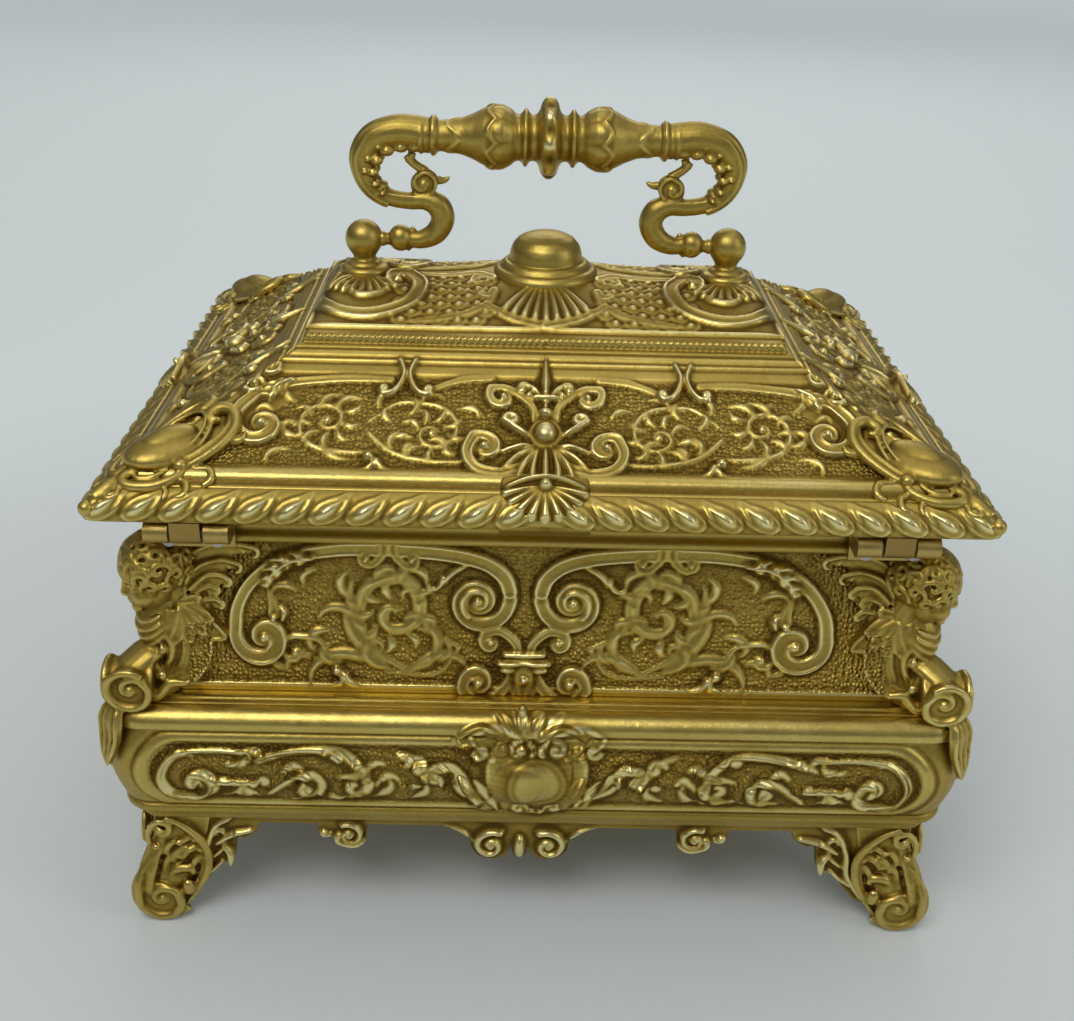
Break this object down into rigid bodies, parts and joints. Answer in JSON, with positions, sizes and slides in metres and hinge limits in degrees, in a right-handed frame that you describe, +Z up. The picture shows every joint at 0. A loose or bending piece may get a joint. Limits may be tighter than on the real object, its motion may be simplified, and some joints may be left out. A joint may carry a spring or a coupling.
{
  "type": "vanity trinket box",
  "caption": "Footed gilt-brass casket with relief panels, corner herms, a hinged hipped lid, a swinging scroll handle and a padded lining.",
  "frame": {"origin": "centre of the box's outline on the surface it stands on", "axes": "+X along the box's length, +Y from the hinge side towards the lock side, +Z up"},
  "size_m": [0.204, 0.152, 0.1934],
  "materials": {
    "gilt_brass": "antique gilt relief casting, polished on the high points and darker in the recesses",
    "plain_brass": "unpolished brass sheet, lightly tarnished",
    "velvet_lining": "wine-red velvet over a card and wadding backing",
    "steel_fittings": "plain steel screws, pins and lock parts"
  },
  "bodies": {
    "case": {"base_plate": "plain_brass", "plinth_ring": "gilt_brass", "plinth_plaque_back": "gilt_brass", "plinth_plaque_right": "gilt_brass", "plinth_plaque_front": "gilt_brass", "plinth_plaque_left": "gilt_brass", "apron_back": "gilt_brass", "apron_right": "gilt_brass", "apron_front": "gilt_brass", "apron_left": "gilt_brass", "foot_back_left": "gilt_brass", "foot_back_right": "gilt_brass", "foot_front_right": "gilt_brass", "foot_front_left": "gilt_brass", "base_screws": "steel_fittings", "foot_screws": "steel_fittings", "side_panel_back": "gilt_brass", "side_panel_right": "gilt_brass", "side_panel_front": "gilt_brass", "side_panel_left": "gilt_brass", "case_frame": "gilt_brass", "corner_herm_back_left": "gilt_brass", "corner_herm_back_right": "gilt_brass", "corner_herm_front_right": "gilt_brass", "corner_herm_front_left": "gilt_brass", "liner_back": "velvet_lining", "liner_right": "velvet_lining", "liner_front": "velvet_lining", "liner_left": "velvet_lining", "floor_pad": "velvet_lining", "hinge_leaf_left": "gilt_brass", "hinge_leaf_right": "gilt_brass", "hinge_pins": "steel_fittings", "hinge_leaf_screws": "steel_fittings", "lock_case": "plain_brass", "keyhole_escutcheon": "gilt_brass"},
    "lid": {"lid_rim": "gilt_brass", "lid_slope_back": "gilt_brass", "lid_slope_right": "gilt_brass", "lid_slope_front": "gilt_brass", "lid_slope_left": "gilt_brass", "lid_cartouche_back_left": "gilt_brass", "lid_cartouche_back_right": "gilt_brass", "lid_cartouche_front_right": "gilt_brass", "lid_cartouche_front_left": "gilt_brass", "lid_top_frame": "gilt_brass", "crown": "gilt_brass", "crown_boss": "gilt_brass", "handle_post_left": "gilt_brass", "handle_post_right": "gilt_brass", "stud_nuts": "steel_fittings", "lid_pad": "velvet_lining", "hinge_strap_left": "gilt_brass", "hinge_strap_right": "gilt_brass", "strike_plate": "steel_fittings"},
    "handle": {"handle_bar": "gilt_brass", "handle_arm_left": "gilt_brass", "handle_arm_right": "gilt_brass"},
    "lock_bolt": {"lock_bolt": "steel_fittings"}
  },
  "joints": [
    {"name": "lid_hinge", "type": "hinge", "parent": "case", "child": "lid", "pos_m": [0, -0.0705, 0.1102], "axis": [1, 0, 0], "range_deg": [0, 100]},
    {"name": "handle_swing", "type": "hinge", "parent": "lid", "child": "handle", "pos_m": [0, 0, 0.1576], "axis": [1, 0, 0], "range_deg": [-90, 90]},
    {"name": "bolt_slide", "type": "slide", "parent": "case", "child": "lock_bolt", "axis": [1, 0, 0], "range_m": [0, 0.005]}
  ]
}
